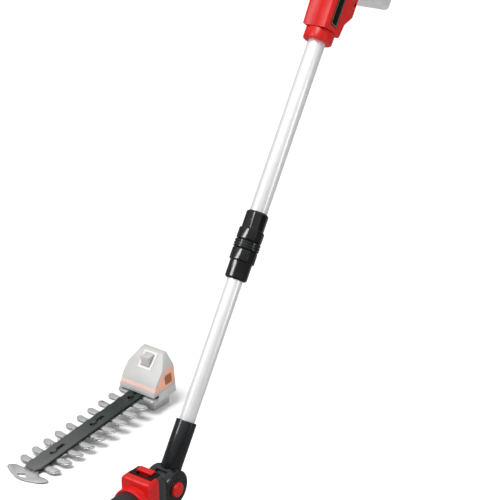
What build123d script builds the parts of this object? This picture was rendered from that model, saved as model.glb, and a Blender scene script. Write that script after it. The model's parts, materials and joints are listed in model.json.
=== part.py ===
"""Cordless telescopic hedge trimmer: D-handle with battery, two-stage pole, tilting adapter,
motor unit, and the trimming head taken off and lying beside it.

Millimetres. Z up, floor at z = 0, the tool points along -Y, the pole leans back towards +Y and
the tilt axis lies along X with its red button on the +X side.
"""

import os
from math import cos, pi, radians, sin

from build123d import *

os.makedirs("parts", exist_ok=True)

# ---- pose -------------------------------------------------------------------------------
JOINT_HEIGHT = 100.0  # tilt axis above the floor
TOOL_X = 143.2  # tilt joint's place on the floor
TOOL_Y = -160.8
POLE_LEAN = 55.8  # pole above the horizontal, degrees
SLIDE_GAP = 0.05  # radial running clearance
SEAT = 0.3  # clearance between separate mouldings

# ---- pole -------------------------------------------------------------------------------
UPPER_R = 12.5  # outer tube, 25 mm
LOWER_R = 11.0  # inner tube, 22 mm
TUBE_WALL = 1.2
LOWER_START = 24.0
LOWER_END = 500.0
SLEEVE_R = 14.4
SLEEVE_END = 90.0
COLLAR_START = 292.4
CAP_LENGTH = 26.0
BAND_LENGTH = 17.2
RING_LENGTH = 12.6
COLLAR_CAP_R = 15.3
COLLAR_BAND_R = 17.4
COLLAR_RING_R = 18.5
CLAMP_R = 13.4
CLAMP_LENGTH = 37.5

# ---- tilt joint -------------------------------------------------------------------------
KNUCKLE_R = 25.5
KNUCKLE_HALF = 20.0
TONGUE_R = 22.0
TONGUE_HALF = 9.0
PIN_R = 4.0
BUTTON_R = 10.5

# ---- adapter and grip -------------------------------------------------------------------
ADAPTER_HALF = 25.0
ADAPTER_TOP = 38.6
ADAPTER_BOTTOM = -31.0
ADAPTER_BACK = KNUCKLE_R + 5.5  # distance ahead of the tilt axis
ADAPTER_FRONT = ADAPTER_BACK + 43.0
FLANGE_THICK = 6.0
FLANGE_END = ADAPTER_BACK + 12.0
PLATE_HALF = 18.6
PLATE_START = ADAPTER_BACK + 0.5
PLATE_END = ADAPTER_BACK + 21.0
SLIDER_START = ADAPTER_BACK + 2.5
GRIP_R = 25.0
GRIP_END = 198.0

# ---- motor unit -------------------------------------------------------------------------
MOTOR_START = 186.0
MOTOR_END = 300.0
MOTOR_SHELL_R = 40.0
WALL = 2.6
MOTOR_R = 17.5
OUTPUT_DROP = 18.0  # output shaft below the motor axis
DOCK_LENGTH = 12.0
DOCK_R = 31.0
SOCKET_R = 20.0

# ---- trimming head ----------------------------------------------------------------------
PITCH = 24.8  # tooth spacing
TEETH = 11
BLADE_HALF = 40.6  # tooth tip to centre line
WEB_HALF = 13.0
BLADE_THICK = 1.6
HEAD_X = TOOL_X - 285.8  # first teeth of the head lying on the floor
HEAD_Y = TOOL_Y + 29.9
HEAD_Z = 3.5
HEAD_YAW = -2.44
HEAD_TILT = 6.0
HOUSING_BACK = 302.0
HOUSING_FRONT = 248.0
HOUSING_HALF = 36.0
HOUSING_TOP = 60.0
CRANK_BACK = 274.0
CRANK_THROW = 7.0
BLADE_SLOT = 13.0  # depth of the slot that the last teeth slide in

# ---- handle -----------------------------------------------------------------------------
NECK_START = 643.0
NECK_R = 21.0
SHELL_START = 660.0
SHELL_END = 1016.0
SHELL_HALF = 21.0
TUBE_END = 735.0
BATTERY_START = 736.0
BATTERY_LENGTH = 120.0
BATTERY_HALF = 37.0
CELL_R = 9.0
CELL_LENGTH = 65.0

CS = cos(radians(POLE_LEAN))
SN = sin(radians(POLE_LEAN))


def along(t):
    """Plane across the pole at t from the tilt axis; local y is the pole's underside."""
    return Plane(
        origin=(TOOL_X, TOOL_Y + CS * t, JOINT_HEIGHT + SN * t), x_dir=(1, 0, 0), z_dir=(0, CS, SN)
    )


def side(x):
    """Plane along the pole at x; local x is the pole's top side, local y runs up the pole."""
    return Plane(
        origin=(TOOL_X + x, TOOL_Y, JOINT_HEIGHT), x_dir=(0, -SN, CS), z_dir=(-1, 0, 0)
    )


def ahead(d, drop=0.0):
    """Plane across the tool at d ahead of the tilt axis; local y is up."""
    return Plane(
        origin=(TOOL_X, TOOL_Y - d, JOINT_HEIGHT - drop), x_dir=(1, 0, 0), z_dir=(0, -1, 0)
    )


def across(x):
    """Plane at x square to the tilt axis; local x points back, local y is up."""
    return Plane(origin=(TOOL_X + x, TOOL_Y, JOINT_HEIGHT), x_dir=(0, 1, 0), z_dir=(1, 0, 0))


def top_at(v):
    """Plane facing the pole's top side at v above its axis; local y runs up the pole."""
    return Plane(
        origin=(TOOL_X, TOOL_Y - SN * v, JOINT_HEIGHT + CS * v),
        x_dir=(1, 0, 0),
        z_dir=(0, -SN, CS),
    )


def deck(h):
    """Horizontal plane at h above the tilt axis; local y points back."""
    return Plane(origin=(TOOL_X, TOOL_Y, JOINT_HEIGHT + h), x_dir=(1, 0, 0), z_dir=(0, 0, 1))


HEAD_SIN = sin(radians(HEAD_TILT))
HEAD_COS = cos(radians(HEAD_TILT))
YAW_SIN = sin(radians(HEAD_YAW))
YAW_COS = cos(radians(HEAD_YAW))
HEAD_RIGHT = Vector(YAW_COS, YAW_SIN, 0)
HEAD_BACK = Vector(-YAW_SIN * HEAD_COS, YAW_COS * HEAD_COS, HEAD_SIN)
HEAD_UP = HEAD_RIGHT.cross(HEAD_BACK)
HEAD_ORIGIN = Vector(HEAD_X, HEAD_Y, HEAD_Z)


def blade(h):
    """Plane of the head at h above its blade; local x is right, local y runs back."""
    return Plane(origin=HEAD_ORIGIN + HEAD_UP * h, x_dir=HEAD_RIGHT, z_dir=HEAD_UP)


def flank(x):
    """Plane of the head at x right of centre; local x runs back, local y is up."""
    return Plane(origin=HEAD_ORIGIN + HEAD_RIGHT * x, x_dir=HEAD_BACK, z_dir=HEAD_RIGHT)


def rear(b, h):
    """Plane across the head at b back of the first teeth and h up, facing back."""
    return Plane(
        origin=HEAD_ORIGIN + HEAD_BACK * b + HEAD_UP * h, x_dir=HEAD_RIGHT * -1, z_dir=HEAD_BACK
    )


def ring(plane, outer, inner, length):
    """Adds a plain ring to the sub-part being built."""
    with BuildSketch(plane) as outline:
        Circle(outer)
        Circle(inner, mode=Mode.SUBTRACT)
    extrude(outline.sketch, amount=length)


def disc(plane, radius, length, mode=Mode.ADD):
    """Adds or cuts a plain cylinder."""
    with BuildSketch(plane) as outline:
        Circle(radius)
    extrude(outline.sketch, amount=length, mode=mode)


def slab(plane, points, amount, both=False, mode=Mode.ADD):
    """Adds or cuts an extruded polygon."""
    with BuildSketch(plane) as outline:
        Polygon(*points, align=None)
    extrude(outline.sketch, amount=amount, both=both, mode=mode)


def block(plane, x0, x1, y0, y1, amount, both=False, mode=Mode.ADD):
    """Adds or cuts an extruded rectangle given by its edges."""
    slab(plane, [(x0, y0), (x1, y0), (x1, y1), (x0, y1)], amount, both, mode)


def gear_points(teeth, root, tip):
    """Outline of a plain spur gear."""
    points = []
    for index in range(teeth):
        for share, radius in ((0.0, root), (0.3, tip), (0.55, tip), (0.85, root)):
            angle = 2 * pi * (index + share) / teeth
            points.append((radius * cos(angle), radius * sin(angle)))
    return points


def coil(plane, radius, wire, length, turns):
    """Adds a round-wire spring standing on a plane."""
    with BuildLine():
        path = Helix(
            pitch=length / turns,
            height=length,
            radius=radius,
            center=plane.origin,
            direction=plane.z_dir,
        )
    with BuildSketch(Plane(origin=path @ 0, z_dir=path % 0)) as section:
        Circle(wire)
    sweep(section.sketch, path=path, is_frenet=True)


# =========================================================================================
# Pole
# =========================================================================================
with BuildPart() as upper_tube:
    ring(along(COLLAR_START + 52), UPPER_R, UPPER_R - TUBE_WALL, TUBE_END - COLLAR_START - 52)

with BuildPart() as lower_tube:
    ring(along(LOWER_START), LOWER_R, LOWER_R - TUBE_WALL, LOWER_END - LOWER_START)

with BuildPart() as tube_bush:
    ring(along(LOWER_END - 14), LOWER_R - TUBE_WALL - SLIDE_GAP, 8.2, 14)
    ring(along(LOWER_END), UPPER_R - TUBE_WALL - SLIDE_GAP, 8.2, 5)

with BuildPart() as arm_sleeve:
    ring(along(16), SLEEVE_R, LOWER_R + SLIDE_GAP, SLEEVE_END - 16)
    fillet(arm_sleeve.faces().sort_by(Axis((0, 0, 0), (0, CS, SN)))[-1].edges(), 0.9)
    disc(across(-30), KNUCKLE_R + SEAT, 60, Mode.SUBTRACT)

BAND_START = COLLAR_START + CAP_LENGTH
RING_START = BAND_START + BAND_LENGTH
BODY_START = RING_START + RING_LENGTH
with BuildPart() as collar_nut:
    with BuildSketch(along(COLLAR_START)):
        Circle(COLLAR_CAP_R)
    extrude(amount=CAP_LENGTH)
    chamfer(collar_nut.faces().sort_by(Axis((0, 0, 0), (0, CS, SN)))[0].edges(), 2.2)
    with BuildSketch(along(BAND_START)):
        RegularPolygon(COLLAR_BAND_R + 0.4, 12)
    extrude(amount=BAND_LENGTH)
    disc(along(COLLAR_START), LOWER_R + SEAT, CAP_LENGTH + BAND_LENGTH, Mode.SUBTRACT)
    disc(along(COLLAR_START + 5), CLAMP_R + SLIDE_GAP, CAP_LENGTH + BAND_LENGTH, Mode.SUBTRACT)

with BuildPart() as collar_ring:
    with BuildSketch(along(RING_START + SEAT)):
        Circle(COLLAR_RING_R)
        with PolarLocations(COLLAR_RING_R + 0.15, 48):
            Circle(0.55, mode=Mode.SUBTRACT)
        Circle(UPPER_R + 2.4, mode=Mode.SUBTRACT)
    extrude(amount=RING_LENGTH - 2 * SEAT)

with BuildPart() as collar_body:
    with BuildSketch(along(BODY_START)):
        RegularPolygon(COLLAR_BAND_R + 0.7, 12)
    extrude(amount=BAND_LENGTH - 1)
    with BuildSketch(along(BODY_START + BAND_LENGTH - 1)):
        Circle(COLLAR_CAP_R)
    extrude(amount=CAP_LENGTH)
    chamfer(collar_body.faces().sort_by(Axis((0, 0, 0), (0, CS, SN)))[-1].edges(), 2.2)
    with BuildSketch(along(RING_START + 0.4)):
        Circle(UPPER_R + 2.1)
    extrude(amount=RING_LENGTH - 0.4)
    disc(along(RING_START), UPPER_R + SLIDE_GAP, 120, Mode.SUBTRACT)

with BuildPart() as clamp_sleeve:
    ring(along(COLLAR_START + 6), CLAMP_R, LOWER_R + SLIDE_GAP, CLAMP_LENGTH)
    for turn in range(4):
        with BuildSketch(along(COLLAR_START + 6)):
            with Locations(Rotation(0, 0, 90 * turn) * Location((CLAMP_R, 0))):
                Rectangle(8, 1.4)
        extrude(amount=30, mode=Mode.SUBTRACT)

# =========================================================================================
# Tilt joint
# =========================================================================================
with BuildPart() as knuckle:
    disc(across(-KNUCKLE_HALF), KNUCKLE_R, 2 * KNUCKLE_HALF)
    fillet(knuckle.edges().filter_by(GeomType.CIRCLE), 3.0)
    disc(along(LOWER_START - 10), LOWER_R, 9.7)
    disc(along(LOWER_START - 1), LOWER_R - TUBE_WALL - SLIDE_GAP, 20)
    disc(across(-TONGUE_HALF - SEAT), TONGUE_R + 1.0, 2 * (TONGUE_HALF + SEAT), Mode.SUBTRACT)
    slab(
        across(0),
        [(0, 23), (-40, 40), (-60, 0), (-60, -60), (60, -60), (24, -10), (0, 0)],
        TONGUE_HALF + SEAT,
        both=True,
        mode=Mode.SUBTRACT,
    )
    disc(across(-KNUCKLE_HALF), PIN_R + SLIDE_GAP, 2 * KNUCKLE_HALF, Mode.SUBTRACT)
    disc(across(11.0), BUTTON_R + 0.4, 20, Mode.SUBTRACT)
    disc(across(-KNUCKLE_HALF), 9.4, 3.0, Mode.SUBTRACT)
    with BuildSketch(along(LOWER_START - 0.3)):
        Circle(SLEEVE_R + 2)
        Circle(LOWER_R - TUBE_WALL - SLIDE_GAP, mode=Mode.SUBTRACT)
    extrude(amount=20, mode=Mode.SUBTRACT)
    disc(along(20), 4.0, 30, Mode.SUBTRACT)

with BuildPart() as pivot_pin:
    disc(across(-KNUCKLE_HALF + 3.2), PIN_R, KNUCKLE_HALF - 3.2 + 11.0)
    disc(across(-KNUCKLE_HALF + 1.4), 7.0, 1.6)
    disc(across(-KNUCKLE_HALF + 1.4), PIN_R, 3.0)

with BuildPart() as pivot_cap:
    disc(across(-KNUCKLE_HALF - 1.2), 9.1, 2.4)
    fillet(pivot_cap.faces().sort_by(Axis.X)[0].edges(), 0.8)

with BuildPart() as pivot_button:
    disc(across(15.0), BUTTON_R, 10.5)
    fillet(pivot_button.faces().sort_by(Axis.X)[-1].edges(), 4.0)
    disc(across(14.9), 7.5, 4.0, Mode.SUBTRACT)

with BuildPart() as button_spring:
    coil(across(11.9), 6.0, 0.6, 6.2, 4)

# =========================================================================================
# Adapter
# =========================================================================================
FLANGE_START = ADAPTER_BACK - FLANGE_THICK
with BuildPart() as adapter_tongue:
    disc(across(-TONGUE_HALF), TONGUE_R, 2 * TONGUE_HALF)
    block(across(-TONGUE_HALF), -FLANGE_START - 1, 0, -15, 15, 2 * TONGUE_HALF)
    with BuildSketch(ahead(FLANGE_START + 1)):
        with Locations((0, (ADAPTER_TOP + ADAPTER_BOTTOM) / 2 - 2)):
            RectangleRounded(2 * ADAPTER_HALF - 4, ADAPTER_TOP - ADAPTER_BOTTOM - 6, 9)
    extrude(amount=FLANGE_THICK - 1)
    with BuildSketch(ahead(ADAPTER_BACK)):
        with Locations((0, (ADAPTER_TOP + ADAPTER_BOTTOM) / 2)):
            RectangleRounded(2 * ADAPTER_HALF - 3, ADAPTER_TOP - ADAPTER_BOTTOM - 1, 8)
    extrude(amount=FLANGE_END - ADAPTER_BACK)
    disc(across(-20), PIN_R + SLIDE_GAP, 40, Mode.SUBTRACT)
    block(deck(ADAPTER_TOP - 1.8), -PLATE_HALF, PLATE_HALF, -PLATE_END, -PLATE_START, 10,
          mode=Mode.SUBTRACT)
    block(deck(ADAPTER_TOP - 13), -9.5, 9.5, -SLIDER_START - 16.5, -SLIDER_START, 20,
          mode=Mode.SUBTRACT)

with BuildPart() as adapter_body:
    with BuildSketch(ahead(FLANGE_END)):
        with Locations((0, (ADAPTER_TOP + ADAPTER_BOTTOM) / 2)):
            RectangleRounded(2 * ADAPTER_HALF, ADAPTER_TOP - ADAPTER_BOTTOM, 8)
    extrude(amount=20)
    fillet(adapter_body.faces().sort_by(Axis.Y)[0].edges(), 5.0)
    with BuildSketch(ahead(ADAPTER_BACK + 20)):
        Circle(GRIP_R + 3.2)
    extrude(amount=ADAPTER_FRONT - ADAPTER_BACK - 20)
    fillet(adapter_body.faces().sort_by(Axis.Y)[0].edges(), 1.4)
    disc(ahead(ADAPTER_BACK + 27), GRIP_R + SLIDE_GAP, 40, Mode.SUBTRACT)
    disc(ahead(ADAPTER_BACK + 4), GRIP_R - 6, 60, Mode.SUBTRACT)
    block(deck(ADAPTER_TOP - 1.8), -PLATE_HALF, PLATE_HALF, -PLATE_END, -PLATE_START, 10,
          mode=Mode.SUBTRACT)
    block(deck(ADAPTER_TOP - 13), -9.5, 9.5, -SLIDER_START - 16.5, -SLIDER_START, 20,
          mode=Mode.SUBTRACT)

with BuildPart() as top_plate:
    block(deck(ADAPTER_TOP - 1.8), -PLATE_HALF + 0.1, PLATE_HALF - 0.1, -PLATE_END + 0.1,
          -PLATE_START - 0.1, 2.4)
    block(deck(ADAPTER_TOP - 3), -9, 9, -SLIDER_START - 15, -SLIDER_START - 1, 6,
          mode=Mode.SUBTRACT)

with BuildPart() as release_slider:
    block(deck(ADAPTER_TOP + 0.9), -12.5, 12.5, -SLIDER_START - 10, -SLIDER_START, 3.2)
    fillet(release_slider.faces().sort_by(Axis.Z)[-1].edges(), 1.2)
    block(deck(ADAPTER_TOP - 5), -8, 8, -SLIDER_START - 9.5, -SLIDER_START - 1.5, 6.0)

with BuildPart() as latch_bolt:
    block(deck(ADAPTER_TOP - 12.5), -8, 8, -SLIDER_START - 9.5, -SLIDER_START - 1.5, 7.2)

with BuildPart() as latch_spring:
    coil(ahead(SLIDER_START + 10.1, -(ADAPTER_TOP - 9)), 2.2, 0.35, 5.8, 5)

with BuildPart() as grip_tube:
    ring(ahead(ADAPTER_BACK + 27.3), GRIP_R, GRIP_R - 5, GRIP_END - ADAPTER_BACK - 27.3)

# =========================================================================================
# Motor unit
# =========================================================================================
OUTER_PROFILE = [
    (MOTOR_START, GRIP_R + SLIDE_GAP),
    (MOTOR_START, GRIP_R + 4),
    (MOTOR_START + 14, MOTOR_SHELL_R - 4),
    (MOTOR_START + 34, MOTOR_SHELL_R),
    (MOTOR_END - 16, MOTOR_SHELL_R),
    (MOTOR_END, MOTOR_SHELL_R - 6),
    (MOTOR_END, SOCKET_R + 10.4),
    (MOTOR_END - WALL, SOCKET_R + 10.4),
    (MOTOR_END - WALL, MOTOR_SHELL_R - 8),
    (MOTOR_END - 17, MOTOR_SHELL_R - WALL),
    (MOTOR_START + 34, MOTOR_SHELL_R - WALL),
    (MOTOR_START + 16, MOTOR_SHELL_R - WALL - 4),
    (MOTOR_START + 13, GRIP_R + SLIDE_GAP),
]
MOTOR_SCREWS = [(-228, 31), (-228, -31), (-278, 31), (-278, -31)]
TOOL_AXIS = Axis((TOOL_X, TOOL_Y, JOINT_HEIGHT), (0, 1, 0))
with BuildPart() as motor_shell_right:
    with BuildSketch(across(0)):
        Polygon(*[(-d, r) for d, r in OUTER_PROFILE], align=None)
    revolve(axis=TOOL_AXIS, revolution_arc=180)
    for place in MOTOR_SCREWS:
        with BuildSketch(across(0)):
            with Locations(place):
                Circle(4.0)
        extrude(amount=24)
        with BuildSketch(across(0)):
            with Locations(place):
                Circle(1.7)
        extrude(amount=60, mode=Mode.SUBTRACT)
        with BuildSketch(across(14)):
            with Locations(place):
                Circle(3.2)
        extrude(amount=60, mode=Mode.SUBTRACT)

with BuildPart() as motor_shell_left:
    with BuildSketch(across(0)):
        Polygon(*[(-d, r) for d, r in OUTER_PROFILE], align=None)
    revolve(axis=TOOL_AXIS, revolution_arc=-180)
    for place in MOTOR_SCREWS:
        with BuildSketch(across(0)):
            with Locations(place):
                Circle(4.0)
        extrude(amount=-18)
        with BuildSketch(across(0)):
            with Locations(place):
                Circle(1.4)
        extrude(amount=-12, mode=Mode.SUBTRACT)

with BuildPart() as motor_screws:
    for place in MOTOR_SCREWS:
        with BuildSketch(across(14.2)):
            with Locations(place):
                Circle(2.9)
        extrude(amount=2.4)
        with BuildSketch(across(-10)):
            with Locations(place):
                Circle(1.35)
        extrude(amount=24.2)

MOUNT_START = 256.0
with BuildPart() as gear_carrier:
    with BuildSketch(ahead(MOUNT_START)):
        Circle(MOTOR_SHELL_R - WALL - SEAT)
        Circle(6.0, mode=Mode.SUBTRACT)
        with Locations((0, -OUTPUT_DROP)):
            Circle(8.0, mode=Mode.SUBTRACT)
        with Locations((0, 31), (0, -31)):
            Rectangle(11, 11, mode=Mode.SUBTRACT)
        with Locations((24, 20), (-24, 20)):
            Circle(5, mode=Mode.SUBTRACT)
    extrude(amount=6)

with BuildPart() as motor:
    disc(ahead(206), MOTOR_R, MOUNT_START - 206 - SEAT)
    fillet(motor.faces().sort_by(Axis.Y)[-1].edges(), 2.0)
    disc(ahead(MOUNT_START - 1), 5.9, 6)
    disc(ahead(203), 5.0, 4)
    for turn in range(6):
        with BuildSketch(ahead(214)):
            with Locations(Rotation(0, 0, 60 * turn) * Location((MOTOR_R, 0))):
                Rectangle(2.2, 5)
        extrude(amount=28, mode=Mode.SUBTRACT)
    disc(ahead(MOUNT_START + 4), 1.6, 13, Mode.SUBTRACT)

with BuildPart() as motor_pinion:
    disc(ahead(MOUNT_START + 5.3), 1.55, 12)
    slab(ahead(MOUNT_START + 7), gear_points(9, 3.4, 4.9), 9)

with BuildPart() as output_gear:
    slab(ahead(MOUNT_START + 7.5, OUTPUT_DROP), gear_points(26, 11.6, 12.9), 8)
    disc(ahead(MOUNT_START + 0.5, OUTPUT_DROP), 4.0, MOTOR_END - MOUNT_START + 5)
    block(ahead(MOTOR_END + 5.5, OUTPUT_DROP), -1.5, 1.5, -3.4, 3.4, 4)

with BuildPart() as shaft_bearings:
    ring(ahead(MOUNT_START + 0.3, OUTPUT_DROP), 7.95, 4.0 + SLIDE_GAP, 5)
    ring(ahead(MOTOR_END - 3.5, OUTPUT_DROP), 7.95, 4.0 + SLIDE_GAP, 5)

with BuildPart() as dock_ring:
    with BuildSketch(ahead(MOTOR_END - WALL + SEAT)):
        Circle(SOCKET_R + 10.2)
        with Locations((0, -OUTPUT_DROP)):
            Circle(8.0, mode=Mode.SUBTRACT)
    extrude(amount=WALL)
    with BuildSketch(ahead(MOTOR_END + SEAT)):
        Circle(DOCK_R)
        with Locations((0, -OUTPUT_DROP)):
            Circle(8.0, mode=Mode.SUBTRACT)
    extrude(amount=DOCK_LENGTH)
    fillet(dock_ring.faces().sort_by(Axis.Y)[0].edges().sort_by(SortBy.RADIUS)[-1], 1.5)
    disc(ahead(MOTOR_END + 3), SOCKET_R + 6.6, DOCK_LENGTH, Mode.SUBTRACT)
    for turn in range(2):
        with BuildSketch(ahead(MOTOR_END + 6)):
            with Locations(Rotation(0, 0, 180 * turn) * Location((SOCKET_R + 6, 0))):
                Rectangle(5, 10)
        extrude(amount=DOCK_LENGTH, mode=Mode.SUBTRACT)

# =========================================================================================
# Trimming head
# =========================================================================================
def tooth(row, sign, reach, narrow):
    """Points round one leaf-shaped tooth, root to root; its tip leans towards the housing."""
    here = row * PITCH
    half = PITCH * 0.27 - narrow
    shape = [
        (WEB_HALF - 3, -half * 1.3),
        (WEB_HALF + 3, -half * 0.84),
        (reach * 0.6, -half * 1.02),
        (reach * 0.83, -half * 0.82),
        (reach * 0.97, -half * 0.05),
        (reach, half * 0.62),
        (reach * 0.94, half * 0.98),
        (reach * 0.76, half * 1.0),
        (reach * 0.58, half * 0.86),
        (WEB_HALF + 3, half * 0.8),
        (WEB_HALF - 3, half * 1.5),
    ]
    return [(sign * x, here + y) for x, y in shape]


BOLTS = [57.0, 146.0, 234.0]
WEB_END = HOUSING_BACK - 8
TIP = [
    (WEB_HALF - 1, 12),
    (22, 4),
    (34, 4.5),
    (BLADE_HALF, 2),
    (38, -4),
    (26, -11),
    (12, -16),
    (-4, -17.5),
    (-20, -13),
    (-34, -7),
    (-BLADE_HALF, -1.0),
    (-36, 6),
    (-24, 7.5),
    (-WEB_HALF + 1, 12),
]
TIP_HOLE = [(-13, -9), (-3, -13), (8, -9.5), (-2, -3.5)]
with BuildPart() as lower_blade:
    with BuildSketch(blade(-BLADE_THICK)):
        Polygon((-WEB_HALF, 0), (WEB_HALF, 0), (WEB_HALF, WEB_END), (-WEB_HALF, WEB_END), align=None)
        for row in range(1, TEETH):
            for sign in (-1, 1):
                with BuildLine():
                    leaf = Spline(*tooth(row, sign, BLADE_HALF, 0))
                    Line(leaf @ 1, leaf @ 0)
                make_face()
        with BuildLine():
            Spline(*TIP)
            Line(TIP[-1], TIP[0])
        make_face()
        with BuildLine():
            Polyline(*TIP_HOLE, close=True)
        make_face(mode=Mode.SUBTRACT)
        for place in BOLTS:
            with Locations((0, place)):
                Circle(2.6, mode=Mode.SUBTRACT)
            with Locations((0, place + 14)):
                SlotOverall(18, 6.4, rotation=90, mode=Mode.SUBTRACT)
    extrude(amount=BLADE_THICK)

with BuildPart() as upper_blade:
    with BuildSketch(blade(0.15)):
        Polygon((-WEB_HALF + 1, 16), (WEB_HALF - 1, 16), (WEB_HALF - 1, CRANK_BACK - 8),
                (-WEB_HALF + 1, CRANK_BACK - 8), align=None)
        Polygon((-16, CRANK_BACK - 9), (16, CRANK_BACK - 9), (16, CRANK_BACK + 8),
                (-16, CRANK_BACK + 8), align=None)
        for row in range(1, TEETH):
            for sign in (-1, 1):
                with BuildLine():
                    leaf = Spline(*tooth(row, sign, BLADE_HALF - 2.4, 0.9))
                    Line(leaf @ 1, leaf @ 0)
                make_face()
        for place in BOLTS:
            with Locations((0, place + 6)):
                SlotOverall(50, 7.4, rotation=90, mode=Mode.SUBTRACT)
        with Locations((0, CRANK_BACK)):
            Rectangle(24, 7.4, mode=Mode.SUBTRACT)
    extrude(amount=BLADE_THICK)

with BuildPart() as guide_bar:
    with BuildSketch(blade(0.3 + BLADE_THICK)):
        Polygon((-11, 7), (-13.5, 15), (-13.5, WEB_END - 46), (13.5, WEB_END - 46), (13.5, 15),
                (9, 7), align=None)
        for place in BOLTS:
            with Locations((0, place + 8)):
                SlotOverall(31, 6.4, rotation=90, mode=Mode.SUBTRACT)
    extrude(amount=2.4)

with BuildPart() as blade_bolts:
    for place in BOLTS:
        with BuildSketch(blade(-BLADE_THICK - 0.2)):
            with Locations((0, place)):
                Circle(2.55)
        extrude(amount=9)
        with BuildSketch(blade(2.75 + BLADE_THICK)):
            with Locations((0, place)):
                RegularPolygon(4.8, 6)
        extrude(amount=3.0)

FRONT_FACE = [
    (HOUSING_FRONT, -7),
    (HOUSING_FRONT, 9),
    (HOUSING_FRONT + 12, 27),
    (HOUSING_BACK - 8, HOUSING_TOP),
    (HOUSING_BACK, HOUSING_TOP),
]
SPLIT = 6.0
with BuildPart() as head_cover:
    slab(
        flank(0),
        [(HOUSING_FRONT, SPLIT), *FRONT_FACE[1:], (HOUSING_BACK, SPLIT)],
        HOUSING_HALF,
        both=True,
    )
    with BuildSketch(rear(HOUSING_FRONT - 30, 0)):
        Polygon((-60, -60), (-60, 90), (60, 90), (60, -60), align=None)
        Polygon((-36, -70), (-36, 40), (-22, 61), (22, 61), (36, 40), (36, -70), align=None,
                mode=Mode.SUBTRACT)
    extrude(amount=120, mode=Mode.SUBTRACT)
    slab(
        flank(0),
        [(HOUSING_FRONT + 3, 0), (HOUSING_FRONT + 3, 8), (HOUSING_FRONT + 14, 24),
         (HOUSING_BACK - 9, HOUSING_TOP - 4), (HOUSING_BACK - 3, HOUSING_TOP - 4),
         (HOUSING_BACK - 3, 0)],
        HOUSING_HALF - 15,
        both=True,
        mode=Mode.SUBTRACT,
    )
    slab(
        flank(0),
        [(HOUSING_FRONT + 3, 0), (HOUSING_FRONT + 3, 8), (HOUSING_FRONT + 14, 24),
         (HOUSING_BACK - 24, 38), (HOUSING_BACK - 3, 38), (HOUSING_BACK - 3, 0)],
        HOUSING_HALF - 3,
        both=True,
        mode=Mode.SUBTRACT,
    )
    disc(rear(HOUSING_BACK - 10, 24), 6.0, 20, Mode.SUBTRACT)
    with BuildSketch(Plane(origin=blade(HOUSING_TOP + 4).origin + HEAD_BACK * 281, x_dir=HEAD_RIGHT,
                           z_dir=HEAD_UP)):
        Rectangle(17, 15)
    extrude(amount=-30, mode=Mode.SUBTRACT)

with BuildPart() as head_base:
    slab(
        flank(0),
        [(HOUSING_FRONT, -9), (HOUSING_FRONT, SPLIT - SEAT), (HOUSING_BACK, SPLIT - SEAT),
         (HOUSING_BACK, -10)],
        HOUSING_HALF,
        both=True,
    )
    slab(flank(0), [(262, -20), (262, -30.6), (298, -34.4), (298, 0), (262, 0)], 22, both=True)
    block(blade(-7), -HOUSING_HALF + 3, HOUSING_HALF - 3, HOUSING_FRONT + 3, HOUSING_BACK - 3, 20,
          mode=Mode.SUBTRACT)
    block(blade(-BLADE_THICK - SEAT), -HOUSING_HALF - 5, HOUSING_HALF + 5, HOUSING_FRONT - 5,
          HOUSING_FRONT + BLADE_SLOT, 5.4 + SEAT, mode=Mode.SUBTRACT)
    with BuildSketch(blade(-24)):
        with Locations((0, 280)):
            Circle(14)
    extrude(amount=30, mode=Mode.SUBTRACT)

with BuildPart() as head_dock:
    with BuildSketch(rear(HOUSING_BACK + SEAT, 24)):
        Circle(SOCKET_R + 4)
        Circle(6.2, mode=Mode.SUBTRACT)
    extrude(amount=8)
    for turn in range(2):
        with BuildSketch(rear(HOUSING_BACK + 4, 24)):
            with Locations(Rotation(0, 0, 180 * turn) * Location((SOCKET_R + 4, 0))):
                Rectangle(4, 8)
        extrude(amount=4)

with BuildPart() as head_latch:
    with BuildSketch(blade(34)):
        with Locations((0, 281)):
            Rectangle(16.2, 14.2)
    extrude(amount=22)
    for rib in range(3):
        with BuildSketch(blade(55.2)):
            with Locations((0, 276.5 + 4.5 * rib)):
                Rectangle(13, 1.8)
        extrude(amount=1.8)

with BuildPart() as side_panels:
    for sign in (-1, 1):
        slab(
            flank(sign * (HOUSING_HALF + 0.6)),
            [(HOUSING_FRONT + 5, 9), (HOUSING_FRONT + 16, 26), (HOUSING_BACK - 20, 39),
             (HOUSING_BACK - 2, 39), (HOUSING_BACK - 2, 9)],
            -sign * 0.6,
        )

with BuildPart() as side_emblems:
    for sign in (-1, 1):
        with BuildSketch(flank(sign * (HOUSING_HALF + 0.6))):
            with Locations((HOUSING_BACK - 17, 22)):
                RectangleRounded(16, 16, 3)
        extrude(amount=sign * 0.8)

with BuildPart() as crank_gear:
    with BuildSketch(blade(12.8)):
        with Locations((0, CRANK_BACK)):
            Polygon(*gear_points(30, 14.0, 15.3), align=None)
    extrude(amount=5)
    with BuildSketch(blade(2.4)):
        with Locations((0, CRANK_BACK)):
            Circle(11)
    extrude(amount=10.6)
    with BuildSketch(blade(0.4)):
        with Locations((CRANK_THROW, CRANK_BACK)):
            Circle(3.4)
    extrude(amount=4)
    with BuildSketch(blade(17)):
        with Locations((0, CRANK_BACK)):
            Circle(4)
    extrude(amount=5)

with BuildPart() as drive_shaft:
    disc(rear(HOUSING_BACK - 12, 24), 4.0, 19)
    slab(rear(HOUSING_BACK - 16, 24), gear_points(10, 4.2, 5.6), 5)

# =========================================================================================
# Handle
# =========================================================================================
with BuildPart() as neck_ring:
    ring(along(NECK_START), NECK_R, UPPER_R + SLIDE_GAP, SHELL_START - NECK_START - 0.8)
    fillet(neck_ring.faces().sort_by(Axis((0, 0, 0), (0, CS, SN)))[0].edges()
           .sort_by(SortBy.RADIUS)[-1], 2.5)

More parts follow.
